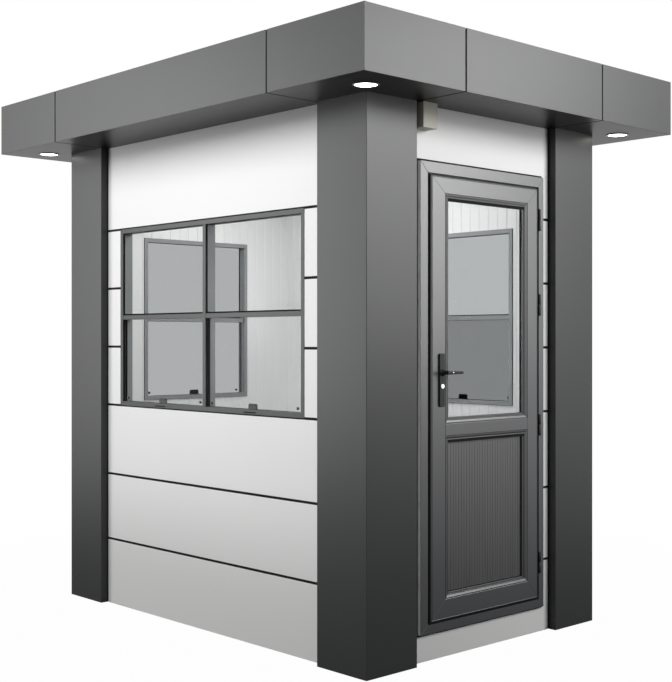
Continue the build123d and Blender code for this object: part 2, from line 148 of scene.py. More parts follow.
membrane, tree, place = new_finish("breather_membrane")
woven = add(tree, "ShaderNodeTexVoronoi", {"Vector": place, "Scale": 1 / MEMBRANE_THREAD}, distance="CHEBYCHEV")
black = add(tree, "ShaderNodeMix", {0: woven.outputs["Distance"], 6: tone("#060606"), 7: tone("#101010")},
            data_type="RGBA")
close(tree, add(tree, "ShaderNodeBsdfPrincipled", {
    "Base Color": black.outputs[2], "Roughness": 0.85, "Specular IOR Level": 0.2,
}))
dress(membrane, "front_wall", "rear_wall", "left_wall", "door_wall")


# Cladding boards
# White coil-coated steel trays, seven level courses on each wall, hung on the core with a
# joint of 11 mm between them and cut round the windows and the door. A black rubber strip
# closes each joint just behind the face. The coating has a fine emboss and a soft sheen,
# and it is painted greyer towards the foot as painted shade low on the walls.
BOARD_THICKNESS = 16
BOARD_FOLD = 1.2
JOINT_STRIP = (0.5, 12)
STRIP_LIP = 0.6
BOARD_COURSES = ((0, 328.5), (339.5, 665.5), (676.5, 1022.5), (1033.5, 1322.5), (1333.5, 1622.5), (1633.5, 1922.5),
                 (1933.5, 2358))
LONG_BOARD = 837
SHORT_BOARD = 460
WINDOW_CUT = (1026, 1930)
WINDOW_JOINT = 2
DOOR_CUT = (-428, 416, 109, 2129)
EMBOSS = 3 * MM

front = Matrix.Translation((0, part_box("front_cladding")[0].y, 0))
rear = Matrix.Translation((0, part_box("rear_cladding")[1].y, 0)) @ Matrix.Rotation(math.pi, 4, "Z")
left = Matrix.Translation((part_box("left_cladding")[0].x, 0, 0)) @ Matrix.Rotation(-math.pi / 2, 4, "Z")
doorway = Matrix.Translation((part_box("door_wall_cladding")[1].x, 0, 0)) @ Matrix.Rotation(math.pi / 2, 4, "Z")


def plate(made, outline, near, far):
    """A flat piece in a wall's own frame, in mm: its outline in X and Z, its faces at near and far in Y"""
    face = made.faces.new([made.verts.new((x, near, z)) for x, z in outline])
    pulled = bmesh.ops.extrude_face_region(made, geom=[face])["geom"]
    moved = [item for item in pulled if isinstance(item, bmesh.types.BMVert)]
    bmesh.ops.translate(made, verts=moved, vec=(0, far - near, 0))
    return moved


def oblong(x0, x1, z0, z1):
    """The outline of an upright rectangle"""
    return [(x0, z0), (x1, z0), (x1, z1), (x0, z1)]


def soften(made, radius, segments=2, edges=None):
    """Rounds the given edges, or every edge where two faces meet at more than 25 degrees"""
    bmesh.ops.recalc_face_normals(made, faces=made.faces)
    if edges is None:
        edges = [edge for edge in made.edges if edge.calc_face_angle(0) > math.radians(25)]
    bmesh.ops.bevel(made, geom=edges, offset=radius, segments=segments, profile=0.5, affect="EDGES", material=-1,
                    clamp_overlap=True)


def piece(name, made, wall, finish, body, slot, *stands_for, round_to=None):
    """The finished object: from mm in a wall's frame to its place, riding a body, in its finish"""
    bmesh.ops.transform(made, matrix=wall @ Matrix.Scale(MM, 4), verts=made.verts)
    bmesh.ops.recalc_face_normals(made, faces=made.faces)
    mesh = bpy.data.meshes.new(name)
    made.to_mesh(mesh)
    made.free()
    if round_to:
        mesh.shade_smooth()
        mesh.set_sharp_from_angle(angle=math.radians(round_to))
    mesh.materials.append(finish)
    shown = bpy.data.objects.new(name, mesh)
    bpy.context.scene.collection.objects.link(shown)
    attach(shown, body)
    if stands_for:
        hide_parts(*stands_for)
    return shown


def clad(name, wall, reach, opening, node_name):
    """The boards of one wall, whole, split beside the opening or notched over and under it"""
    made = bmesh.new()
    near, far, sill, head = opening
    for low, high in BOARD_COURSES:
        if high <= sill or low >= head:
            outlines = [oblong(-reach, reach, low, high)]
        elif low < sill:
            outlines = [[(-reach, low), (reach, low), (reach, high), (far, high), (far, sill), (near, sill),
                         (near, high), (-reach, high)]]
        elif high > head:
            outlines = [[(-reach, low), (near, low), (near, head), (far, head), (far, low), (reach, low),
                         (reach, high), (-reach, high)]]
        else:
            outlines = [oblong(-reach, near, low, high), oblong(far, reach, low, high)]
        for outline in outlines:
            plate(made, outline, 0, BOARD_THICKNESS)
    soften(made, BOARD_FOLD)
    piece(name + "_boards", made, wall, coil_coat, "cabin", "cladding_white", node_name)
    made = bmesh.new()
    for (low, high), (next_low, next_high) in zip(BOARD_COURSES, BOARD_COURSES[1:]):
        spans = [(-reach, reach)] if next_low <= sill or high >= head else [(-reach, near), (far, reach)]
        for x0, x1 in spans:
            plate(made, oblong(x0, x1, high - STRIP_LIP, next_low + STRIP_LIP), *JOINT_STRIP)
        if high < sill < next_low:
            plate(made, oblong(near, far, high - STRIP_LIP, sill + WINDOW_JOINT), *JOINT_STRIP)
        if high < head < next_low:
            plate(made, oblong(near, far, head - WINDOW_JOINT, next_low + STRIP_LIP), *JOINT_STRIP)
    piece(name + "_joint_strips", made, wall, rubber, "cabin", "black_rubber")


coil_coat, tree, place = new_finish("white_coil_coating")
emboss = add(tree, "ShaderNodeTexNoise", {"Vector": place, "Scale": 1 / EMBOSS, "Detail": 1.0})
streak = add(tree, "ShaderNodeTexNoise", {"Vector": place, "Scale": 1 / (600 * MM), "Detail": 2.0})
white = add(tree, "ShaderNodeMix", {0: streak.outputs[0], 6: tone("#ebebec"), 7: tone("#f0f0ef")}, data_type="RGBA")
level = add(tree, "ShaderNodeSeparateXYZ", {0: place})
# painted shade: the white turns greyer below 0.8 m and is darkest at the foot of the walls
painted_low_shade = add(tree, "ShaderNodeMapRange", {"Value": level.outputs["Z"], "From Min": 0.15, "From Max": 0.8,
                                            "To Min": 0.8, "To Max": 0.0}, interpolation_type="SMOOTHSTEP")
white = add(tree, "ShaderNodeMix", {0: painted_low_shade.outputs[0], 6: white.outputs[2], 7: tone("#cfcfce")}, data_type="RGBA")
sheen = add(tree, "ShaderNodeMapRange", {"Value": emboss.outputs[0], "To Min": 0.38, "To Max": 0.48})
skin = add(tree, "ShaderNodeBump", {"Height": emboss.outputs[0], "Strength": 0.1, "Distance": 0.1 * MM})
close(tree, add(tree, "ShaderNodeBsdfPrincipled", {
    "Base Color": white.outputs[2], "Roughness": sheen.outputs[0], "IOR": 1.45, "Normal": skin.outputs[0],
}))
rubber, tree, place = new_finish("black_rubber")
bloom = add(tree, "ShaderNodeTexNoise", {"Vector": place, "Scale": 1 / (30 * MM), "Detail": 3.0})
black = add(tree, "ShaderNodeMix", {0: bloom.outputs[0], 6: tone("#080808"), 7: tone("#101010")}, data_type="RGBA")
close(tree, add(tree, "ShaderNodeBsdfPrincipled", {
    "Base Color": black.outputs[2], "Roughness": 0.7, "IOR": 1.5, "Specular IOR Level": 0.12,
}))
clad("front", front, LONG_BOARD, (-722, 722, *WINDOW_CUT), "front_cladding")
clad("rear", rear, LONG_BOARD, (-722, 722, *WINDOW_CUT), "rear_cladding")
clad("left", left, SHORT_BOARD, (-362, 362, *WINDOW_CUT), "left_cladding")
clad("door_side", doorway, SHORT_BOARD, DOOR_CUT, "door_wall_cladding")


# Inner lining
# Hollow white PVC boards, 62 mm wide, clipped together upright on all four walls with a
# small V groove at each joint, and one flat white board overhead as the ceiling.
LINING_PITCH = 62
LINING_GROOVE = 2.6
LINING_FACES = (44, 50)
LINING_LEVELS = (118, 2350)


def line(made, reach, near, far, sill, head):
    """The upright boards of one wall, each cut back where the opening crosses it"""
    low, high = LINING_LEVELS
    count = math.ceil(reach / LINING_PITCH)
    for index in range(-count, count):
        x0 = max(index * LINING_PITCH, -reach)
        x1 = min((index + 1) * LINING_PITCH, reach)
        if x1 <= near or x0 >= far:
            outlines = [oblong(x0, x1, low, high)]
        elif x0 >= near and x1 <= far:
            outlines = [oblong(x0, x1, head, high)]
            if sill > low:
                outlines.append(oblong(x0, x1, low, sill))
        else:
            whole, cut, edge = (x0, x1, near) if x0 < near else (x1, x0, far)
            outline = [(cut, head), (cut, high), (whole, high), (whole, low)]
            outline += [(cut, low), (cut, sill), (edge, sill), (edge, head)] if sill > low else [(edge, low), (edge, head)]
            outlines = [outline]
        for outline in outlines:
            plate(made, outline, *LINING_FACES)
    joints = [edge for edge in made.edges
              if abs(edge.verts[0].co.y - LINING_FACES[1]) < 0.01 and abs(edge.verts[1].co.y - LINING_FACES[1]) < 0.01
              and abs(edge.verts[0].co.x - edge.verts[1].co.x) < 0.01
              and abs(edge.verts[0].co.x) < reach - 1
              and abs(edge.verts[0].co.x / LINING_PITCH - round(edge.verts[0].co.x / LINING_PITCH)) < 0.001]
    soften(made, LINING_GROOVE, 1, joints)


pvc_board, tree, place = new_finish("white_pvc_board")
haze = add(tree, "ShaderNodeTexNoise", {"Vector": place, "Scale": 1 / (300 * MM), "Detail": 2.0})
white = add(tree, "ShaderNodeMix", {0: haze.outputs[0], 6: tone("#ececeb"), 7: tone("#f1f1f1")}, data_type="RGBA")
sheen = add(tree, "ShaderNodeMapRange", {"Value": haze.outputs[0], "To Min": 0.34, "To Max": 0.46})
close(tree, add(tree, "ShaderNodeBsdfPrincipled", {
    "Base Color": white.outputs[2], "Roughness": sheen.outputs[0], "IOR": 1.53,
}))
lining = []
for name, wall, reach, opening in (
    ("front_lining", front, 1061, (-720, 720, 1028, 1928)),
    ("rear_lining", rear, 1061, (-720, 720, 1028, 1928)),
    ("left_lining", left, 671.7, (-360, 360, 1028, 1928)),
    ("door_side_lining", doorway, 671.7, (-419, 407, 118, 2120)),
):
    made = bmesh.new()
    line(made, reach, *opening)
    lining.append(piece(name, made, wall, pvc_board, "cabin", "lining_white", "wall_lining"))
dress(pvc_board, "ceiling_panel")


# Roof
# A closed box with a sloped insulation board on top, covered with dark grey PVC membrane
# in three widths, heat welded at their laps and turned up against the curbs.
ROOF_REACH = (1380, 995)
ROOF_SEAMS = (-460, 460)
ROOF_FILM = 2
ROOF_LAP = 60
UPSTAND = 44
ROOF_GRAIN = 6 * MM

roofing, tree, place = new_finish("roofing_membrane")
grain = add(tree, "ShaderNodeTexNoise", {"Vector": place, "Scale": 1 / ROOF_GRAIN, "Detail": 4.0})
dust = add(tree, "ShaderNodeTexNoise", {"Vector": place, "Scale": 1 / (350 * MM), "Detail": 4.0})
film = add(tree, "ShaderNodeMix", {0: dust.outputs[0], 6: tone("#5d6062"), 7: tone("#727577")}, data_type="RGBA")
skin = add(tree, "ShaderNodeBump", {"Height": grain.outputs[0], "Strength": 0.35, "Distance": 0.4 * MM})
close(tree, add(tree, "ShaderNodeBsdfPrincipled", {
    "Base Color": film.outputs[2], "Roughness": 0.68, "IOR": 1.5, "Normal": skin.outputs[0],
}))
deck_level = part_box("roof_panel")[1].z
level_deck = Matrix.Translation((0, 0, deck_level)) @ Matrix.Rotation(math.pi / 2, 4, "X")
reach_x, reach_y = ROOF_REACH
made = bmesh.new()
plate(made, oblong(-reach_x, reach_x, -reach_y, reach_y), 0, ROOF_FILM)
for seam in ROOF_SEAMS:
    plate(made, oblong(seam - ROOF_LAP / 2, seam + ROOF_LAP / 2, -reach_y, reach_y), ROOF_FILM, 2 * ROOF_FILM)
for side in (-1, 1):
    plate(made, oblong(*sorted((side * reach_x, side * (reach_x - ROOF_FILM))), -reach_y, reach_y), ROOF_FILM, UPSTAND)
    plate(made, oblong(-reach_x + ROOF_FILM, reach_x - ROOF_FILM, *sorted((side * reach_y, side * (reach_y - ROOF_FILM)))),
          ROOF_FILM, UPSTAND)
soften(made, 0.7, 1)
piece("roof_membrane", made, level_deck, roofing, "cabin", "roof_sheet")

capping, tree, place = new_finish("dark_roof_coating")
brushed = add(tree, "ShaderNodeTexNoise", {"Vector": place, "Scale": 1 / (40 * MM), "Detail": 3.0})
black = add(tree, "ShaderNodeMix", {0: brushed.outputs[0], 6: tone("#101111"), 7: tone("#1a1b1b")}, data_type="RGBA")
close(tree, add(tree, "ShaderNodeBsdfPrincipled", {
    "Base Color": black.outputs[2], "Roughness": 0.75, "Specular IOR Level": 0.25,
}))
dress(capping, "roof_panel", "roof_curbs")


# Fascia and soffit
# The same powder-coated sheet as the columns, folded into soffit, fascia and coping in one
# piece: four corner pieces and four straight ones, set with an open joint of 8 mm. The
# soffit side is painted darker than the rest, as painted shade under the overhang.
FOLD = 1.4

fascia_coat = powder_coat.copy()
fascia_coat.name = "anthracite_fascia_coat"
tree = fascia_coat.node_tree
coated = next(part for part in tree.nodes if part.type == "BSDF_PRINCIPLED")
place = next(part for part in tree.nodes if part.type == "TEX_COORD").outputs["Object"]
# painted shade: faces below the soffit level get a darker base colour than the fascia
level = add(tree, "ShaderNodeSeparateXYZ", {0: place})
soffit_shade_mask = add(tree, "ShaderNodeMapRange", {"Value": level.outputs["Z"], "From Min": 2.3585, "From Max": 2.3605,
                                         "To Min": 1.0, "To Max": 0.0})
painted_soffit_shade = add(tree, "ShaderNodeMix", {0: soffit_shade_mask.outputs[0], 6: coated.inputs["Base Color"].links[0].from_socket,
                                   7: tone("#141515")}, data_type="RGBA")
tree.links.new(painted_soffit_shade.outputs[2], coated.inputs["Base Color"])
dress(fascia_coat, "fascia_corners", "fascia_middles")
for name in ("fascia_corners", "fascia_middles"):
    weld = node[name].modifiers.new("joined_faces", "WELD")
    weld.merge_threshold = 0.01 * MM
    fold = node[name].modifiers.new("folds", "BEVEL")
    fold.width = FOLD * MM
    fold.segments = 2
    fold.limit_method = "ANGLE"
    fold.angle_limit = math.radians(60)


# Downlights
# Round recessed fittings in the soffit corners: a spun aluminium trim ring, satin
# anodised, round a slightly domed opal polycarbonate lens that glows evenly.
LIGHT_PLACE = (1230, 845)
SOFFIT = 2358
TRIM = [(46.4, 16), (50, 16), (50, 0), (54.6, 0), (55, -1), (53.8, -3.2), (51.5, -4), (49, -3.6), (47.2, -2), (46.4, 1)]
LENS = [(0, -2.6), (18, -2.5), (32, -2.0), (41, -1.1), (44.6, 0.4), (45.6, 2.5), (45.6, 7), (0, 7)]
SPUN_LINES = 2 * MM


def turned(made, outline, place, closed=False, steps=48):
    """A turned part: an outline of radius and height, spun round the Z axis and then put in its place"""
    before = set(made.verts)
    points = [made.verts.new((radius, 0, height)) for radius, height in outline]
    lines = [made.edges.new(pair) for pair in zip(points, points[1:])]
    if closed:
        lines.append(made.edges.new((points[-1], points[0])))
    bmesh.ops.spin(made, geom=points + lines, cent=(0, 0, 0), axis=(0, 0, 1), dvec=(0, 0, 0), angle=2 * math.pi,
                   steps=steps, use_merge=True)
    fresh = [vert for vert in made.verts if vert not in before]
    bmesh.ops.remove_doubles(made, verts=fresh, dist=0.001)
    fresh = [vert for vert in made.verts if vert not in before]
    bmesh.ops.transform(made, matrix=place, verts=fresh)


anodised, tree, place = new_finish("satin_anodised_aluminium")
spun = add(tree, "ShaderNodeTexNoise", {"Vector": place, "Scale": 1 / SPUN_LINES, "Detail": 2.0})
satin = add(tree, "ShaderNodeMapRange", {"Value": spun.outputs[0], "To Min": 0.25, "To Max": 0.4})
metal = add(tree, "ShaderNodeMix", {0: spun.outputs[0], 6: tone("#6f7071"), 7: tone("#858687")}, data_type="RGBA")
close(tree, add(tree, "ShaderNodeBsdfPrincipled", {
    "Base Color": metal.outputs[2], "Metallic": 1.0, "Roughness": satin.outputs[0],
}))
opal, tree, place = new_finish("opal_polycarbonate")
cloud = add(tree, "ShaderNodeTexNoise", {"Vector": place, "Scale": 1 / (25 * MM), "Detail": 1.0})
milky = add(tree, "ShaderNodeMix", {0: cloud.outputs[0], 6: tone("#f6f5f0"), 7: tone("#fbfaf6")}, data_type="RGBA")
close(tree, add(tree, "ShaderNodeBsdfPrincipled", {
    "Base Color": milky.outputs[2], "Roughness": 0.35, "IOR": 1.58, "Emission Color": tone("#fffdf6"),
    "Emission Strength": 9.0,
}))
rings = bmesh.new()
lenses = bmesh.new()
for across in (-1, 1):
    for along in (-1, 1):
        spot = Matrix.Translation((across * LIGHT_PLACE[0], along * LIGHT_PLACE[1], SOFFIT))
        turned(rings, TRIM, spot, closed=True)
        turned(lenses, LENS, spot)
piece("downlight_trims", rings, Matrix(), anodised, "cabin", "lamp_ring", "downlight_rings", round_to=35)
piece("downlight_domes", lenses, Matrix(), opal, "cabin", "lamp_lens", "downlight_lenses", round_to=35)


# Windows
# Extruded aluminium, powder coated anthracite: a frame with two tracks round its inside,
# mitred at the corners, a mullion between two bays and a rail where the panes meet. The
# upper pane is set in the outer track and the lower one slides up behind it. Grey guides
# and cover profiles line the tracks and the inner face.
WINDOW_LEVELS = (1028, 1928)
WINDOW_FACE = 22
WINDOW_SECTION = ((0, 0), (22, 0), (22, 5), (14, 5), (14, 13), (22, 13), (22, 18), (14, 18), (14, 30), (22, 30),
                  (22, 54), (0, 54))
MULLION_SECTION = ((-12, 0), (12, 0), (12, 5), (4, 5), (4, 13), (12, 13), (12, 18), (4, 18), (4, 30), (12, 30),
                   (12, 54), (-12, 54), (-12, 30), (-4, 30), (-4, 18), (-12, 18), (-12, 13), (-4, 13), (-4, 5),
                   (-12, 5))
MEETING_RAIL = (1465.5, 1488.5, 1, 19.5)
OUTER_PANE = (6, 11)
INNER_PANE = (21, 26)
GLASS_EDGE = 6
GUIDE = 1.5
PROFILE_GRAIN = 2 * MM


def bar(made, start, end):
    """A straight bar between two matching loops of points"""
    face = made.faces.new([made.verts.new(point) for point in start])
    pulled = bmesh.ops.extrude_face_region(made, geom=[face])["geom"]
    for vert in [item for item in pulled if isinstance(item, bmesh.types.BMVert)]:
        nearest = min(range(len(start)), key=lambda index: (vert.co - Vector(start[index])).length)
        vert.co = end[nearest]


def mitred(made, outside, faces, section):
    """Four bars cut at the mitre: each point of the section is a share of the face width, an offset and a depth"""
    x0, x1, z0, z1 = outside
    left_face, right_face, low_face, high_face = faces

    def corner(x, z, toward_x, toward_z, face_x, face_z):
        return [(x + toward_x * (share * face_x + offset), depth, z + toward_z * (share * face_z + offset))
                for share, offset, depth in section]

    loops = [corner(x0, z0, 1, 1, left_face, low_face), corner(x0, z1, 1, -1, left_face, high_face),
             corner(x1, z1, -1, -1, right_face, high_face), corner(x1, z0, -1, 1, right_face, low_face)]
    for start, end in zip(loops, loops[1:] + loops[:1]):
        bar(made, start, end)


profile_coat, tree, place = new_finish("powder_coated_aluminium")
grain = add(tree, "ShaderNodeTexNoise", {"Vector": place, "Scale": 1 / PROFILE_GRAIN, "Detail": 2.0})
drift = add(tree, "ShaderNodeTexNoise", {"Vector": place, "Scale": 1 / (260 * MM), "Detail": 1.0})
coat = add(tree, "ShaderNodeMix", {0: drift.outputs[0], 6: tone("#2a2c2d"), 7: tone("#303233")}, data_type="RGBA")
satin = add(tree, "ShaderNodeMapRange", {"Value": grain.outputs[0], "To Min": 0.28, "To Max": 0.38})
skin = add(tree, "ShaderNodeBump", {"Height": grain.outputs[0], "Strength": 0.1, "Distance": 0.1 * MM})
close(tree, add(tree, "ShaderNodeBsdfPrincipled", {
    "Base Color": coat.outputs[2], "Roughness": satin.outputs[0], "IOR": 1.5, "Normal": skin.outputs[0],
    "Specular IOR Level": 0.3,
}))


def glazing(name, code):
    """Float glass with an antireflection coat, which neither bends nor mirrors light, and lets it straight through"""
    made, tree, place = new_finish(name)
    pane = add(tree, "ShaderNodeBsdfPrincipled", {
        "Base Color": tone(code), "Roughness": 0.0, "IOR": 1.01, "Transmission Weight": 1.0,
    })
    clear = add(tree, "ShaderNodeBsdfTransparent", {"Color": tone(code)})
    path = add(tree, "ShaderNodeLightPath")
    passes = add(tree, "ShaderNodeMath", {0: path.outputs["Is Shadow Ray"], 1: path.outputs["Is Diffuse Ray"]},
                 operation="MAXIMUM")
    close(tree, add(tree, "ShaderNodeMixShader", {0: passes.outputs[0], 1: pane.outputs[0], 2: clear.outputs[0]}))
    return made


nylon, tree, place = new_finish("black_nylon")
fibre = add(tree, "ShaderNodeTexNoise", {"Vector": place, "Scale": 1 / (2 * MM), "Detail": 2.0})
black = add(tree, "ShaderNodeMix", {0: fibre.outputs[0], 6: tone("#131313"), 7: tone("#1f1f1f")}, data_type="RGBA")
matt = add(tree, "ShaderNodeMapRange", {"Value": fibre.outputs[0], "To Min": 0.45, "To Max": 0.6})
close(tree, add(tree, "ShaderNodeBsdfPrincipled", {
    "Base Color": black.outputs[2], "Roughness": matt.outputs[0], "IOR": 1.53,
}))
# The front and door panes are clear. The left and rear panes are tinted grey as painted shade, the rear's lower panes
# darker than its upper ones.
clear_glass = glazing("clear_float_glass", "#f4f5f5")
grey_shaded_glass = glazing("grey_glass_painted_shade", "#b4b6b6")
pale_shaded_glass = glazing("pale_glass_painted_shade", "#c2c5c5")
dark_shaded_glass = glazing("dark_glass_painted_shade", "#8c8e8f")

inner_coat, tree, place = new_finish("grey_inner_profiles")
grain = add(tree, "ShaderNodeTexNoise", {"Vector": place, "Scale": 1 / PROFILE_GRAIN, "Detail": 2.0})
coat = add(tree, "ShaderNodeMix", {0: grain.outputs[0], 6: tone("#8b8d8e"), 7: tone("#929495")}, data_type="RGBA")
satin = add(tree, "ShaderNodeMapRange", {"Value": grain.outputs[0], "To Min": 0.35, "To Max": 0.45})
close(tree, add(tree, "ShaderNodeBsdfPrincipled", {
    "Base Color": coat.outputs[2], "Roughness": satin.outputs[0], "IOR": 1.5,
}))

windows = (
    ("front", front, 720, ((-698, -12), (12, 698)), clear_glass, clear_glass),
    ("rear", rear, 720, ((-698, -12), (12, 698)), pale_shaded_glass, dark_shaded_glass),
    ("left", left, 360, ((-338, 338),), grey_shaded_glass, grey_shaded_glass),
)
low, high = WINDOW_LEVELS
rail_low, rail_high, rail_front, rail_back = MEETING_RAIL
for side, wall, reach, bays, upper_glass, lower_glass in windows:
    made = bmesh.new()
    mitred(made, (-reach, reach, low, high), (0, 0, 0, 0), [(0, inset, depth) for inset, depth in WINDOW_SECTION])
    if len(bays) > 1:
        bar(made, [(x, y, low + WINDOW_FACE) for x, y in MULLION_SECTION],
            [(x, y, high - WINDOW_FACE) for x, y in MULLION_SECTION])
    soften(made, 0.7)
    piece(side + "_window_profiles", made, wall, profile_coat, "cabin", "window_frame", side + "_window_frame")

    upper = bmesh.new()
    lower = bmesh.new()
    seals = bmesh.new()
    rails = bmesh.new()
    for x0, x1 in bays:
        plate(upper, oblong(x0 - GLASS_EDGE, x1 + GLASS_EDGE, rail_high, high - WINDOW_FACE + GLASS_EDGE), *OUTER_PANE)
        plate(lower, oblong(x0 - GLASS_EDGE, x1 + GLASS_EDGE, low + WINDOW_FACE - GLASS_EDGE, rail_high), *INNER_PANE)
        plate(rails, oblong(x0, x1, rail_low, rail_high), rail_front, rail_back)
        behind = OUTER_PANE[1]
        mitred(seals, (x0 - GLASS_EDGE, x1 + GLASS_EDGE, rail_high, high - WINDOW_FACE + GLASS_EDGE), (0, 0, 0, 0),
               [(0, 0, behind), (0, 6.6, behind), (0, 6.8, behind + 0.8), (0, 6.4, behind + 1.4), (0, 0, behind + 1.4)])
    for made in (upper, lower):
        soften(made, 0.4, 1)
    soften(rails, 1.4)
    soften(seals, 0.4, 1)
    piece(side + "_upper_panes", upper, wall, upper_glass, "cabin", "window_glass", side + "_window_panes")
    piece(side + "_lower_panes", lower, wall, lower_glass, "cabin", "window_glass", side + "_window_panes")
    piece(side + "_pane_seals", seals, wall, rubber, "cabin", "black_rubber")
    piece(side + "_meeting_rails", rails, wall, profile_coat, "cabin", "window_frame", "window_meeting_rails")

    inner = bmesh.new()
    mitred(inner, (-reach, reach, low, high), (0, 0, 0, 0), [(0, 1, 54), (0, 1, 55.4), (0, 22, 55.4), (0, 22, 54)])
    for x0, x1 in bays:
        plate(inner, oblong(x0, x1, rail_low + 1, rail_high + 1), INNER_PANE[1] + 0.5, 45)
        for edge, toward in ((x0, 1), (x1, -1)):
            sides = sorted((edge, edge + toward * GUIDE))
            plate(inner, oblong(*sides, rail_high + 1, high - WINDOW_FACE), OUTER_PANE[1] + 1.5, 55.4)
            plate(inner, oblong(*sides, low + WINDOW_FACE, rail_low + 1), INNER_PANE[1] + 0.5, 55.4)
            if side == "left":
                plate(inner, oblong(*sides, low + WINDOW_FACE, rail_low - 1), 1, INNER_PANE[0] - 0.5)
    if len(bays) > 1:
        plate(inner, oblong(-12, 12, low + WINDOW_FACE, high - WINDOW_FACE), 54, 55.4)
    soften(inner, 0.4, 1)
    piece(side + "_inner_profiles", inner, wall, inner_coat, "cabin", "window_frame")


# Window furniture
# Moulded black nylon: a finger pull clipped to the foot of each lower pane, two round
# stops near its corners with a steel rivet, and a cap over each drain slot in the sill.
PULL_WIDTH = 60
PULL_SHIFT = 8
PULL_HEIGHT = 26
STOP_INSET = 33
STOP_LEVEL = 1067
DRAIN_LEVEL = 1037
STOP = [(0, 0), (6, 0), (6, 6), (5.2, 8.6), (3.4, 10), (2.8, 9.2), (0, 9.2)]
RIVET = [(0, 8.8), (2.6, 8.8), (2.5, 9.6), (1.4, 10.2), (0, 10.4)]
OUT_OF_WALL = Matrix.Rotation(math.pi / 2, 4, "X")

nickel, tree, place = new_finish("nickel_plated_brass")
polish = add(tree, "ShaderNodeTexNoise", {"Vector": place, "Scale": 1 / (4 * MM), "Detail": 2.0})
shine = add(tree, "ShaderNodeMapRange", {"Value": polish.outputs[0], "To Min": 0.22, "To Max": 0.34})
plating = add(tree, "ShaderNodeMix", {0: polish.outputs[0], 6: tone("#e4e3df"), 7: tone("#f1f0ed")}, data_type="RGBA")
close(tree, add(tree, "ShaderNodeBsdfPrincipled", {
    "Base Color": plating.outputs[2], "Metallic": 1.0, "Roughness": shine.outputs[0],
}))
for side, wall, reach, bays, upper_glass, lower_glass in windows:
    pulls = bmesh.new()
    stops = bmesh.new()
    rivets = bmesh.new()
    caps = bmesh.new()
    foot = low + WINDOW_FACE
    shift = -PULL_SHIFT if side == "front" else 0
    for x0, x1 in bays:
        middle = (x0 + x1) / 2 + shift
        half = PULL_WIDTH / 2
        plate(pulls, [(middle - half, foot), (middle + half, foot), (middle + half, foot + PULL_HEIGHT - 6),
                      (middle + half - 6, foot + PULL_HEIGHT), (middle - half + 6, foot + PULL_HEIGHT),
                      (middle - half, foot + PULL_HEIGHT - 6)], INNER_PANE[0] - 6.5, INNER_PANE[0])
        plate(pulls, oblong(middle - half + 5, middle + half - 5, foot + PULL_HEIGHT - 9, foot + PULL_HEIGHT - 4),
              INNER_PANE[0] - 10, INNER_PANE[0] - 6.5)
        plate(caps, oblong(middle - 43, middle + 43, DRAIN_LEVEL - 3, DRAIN_LEVEL + 3), -1.2, 0)
        for x in (x0 + STOP_INSET + shift, x1 - STOP_INSET + shift):
            spot = Matrix.Translation((x, INNER_PANE[0], STOP_LEVEL)) @ OUT_OF_WALL
            turned(stops, STOP, spot, steps=24)
            turned(rivets, RIVET, spot, steps=16)
    soften(pulls, 1.2)
    soften(caps, 1)
    # painted light: the black nylon pulls behind the left and rear panes take the paler grey of the inner profiles
    piece(side + "_finger_pulls", pulls, wall, nylon if side == "front" else inner_coat, "cabin", "black_fittings", "window_latch_tabs")
    piece(side + "_pane_stops", stops, wall, nylon, "cabin", "black_fittings", "window_pane_pegs", round_to=35)
    piece(side + "_stop_rivets", rivets, wall, nickel, "cabin", "cylinder_steel", round_to=35)
    piece(side + "_drain_caps", caps, wall, rubber, "cabin", "black_fittings")


# Door frame and leaf
# Extruded PVC profiles with an anthracite foil, mitred and welded at the corners with a
# fine V groove left at each mitre. The frame's rim stands proud of the boards, the leaf
# lies in it on a flat black gasket, and a moulded bead holds the glass and the panel.
FRAME_OUTSIDE = (-424, 407, 118, 2120)
FRAME_FACES = (46, 36, 44, 48)
FRAME_FLOORS = (69, 64, 67, 67)
LEAF_OUTSIDE = (-367, 355, 167, 2065)
LEAF_FACES = (90, 77, 88, 76)
LEAF_SECTION = ((0, 0, -5), (0, 0, -21), (0, 4, -25), (0, 6, -25), (0, 6.4, -23.4), (0, 8.4, -23.4), (0, 8.8, -25),
                (1, -2, -25), (1, 0, -23.4), (1, 0, 20), (1, -15, 35), (0, 20, 35), (0, 20, -5))
MIDDLE_RAIL = (951, 1005)
MIDDLE_RAIL_SECTION = ((0, -23.4), (2, -25), (52, -25), (54, -23.4), (54, 20), (39, 35), (15, 35), (0, 20))
APERTURES = ((255, 951), (1005, 1989))
BEAD_SECTION = ((0, 0, -21.4), (0, 1.8, -21.4), (0, 2.6, -24.2), (0, 4, -24.2), (0, 13.2, -20.8), (0, 14, -22),
                (0, 16, -22), (0, 17, -20), (1, 20, -14.6), (1, 22.6, -14.6), (1, 23.2, -16.6), (1, 26.4, -16.6),
                (1, 27.5, -15), (1, 27.5, -2), (0, 0, -2))
BEAD_SHIFTS = (0, 0, -2.5, 0)
BEAD_LIP = ((1, 26, -10), (1, 28.2, -9), (1, 28.2, -2), (1, 26, -2))
# painted shade: a black strip behind the top bead of each aperture, where the bead's underside lies in shade
TOP_SHADE_STRIP = (16.6, 28.4, -20.6, -2)
INNER_BEAD_SECTION = ((0, 0, 18), (0, 4, 18), (0, 4, 20), (0, 3, 22), (0, 0, 22))
GASKET_SPREAD = 4
GASKET = ((0, 0, -4.8), (0, 15, -4.8), (0, 15, 0), (0, 0, 0))
FOIL_GRAIN = 1.4 * MM

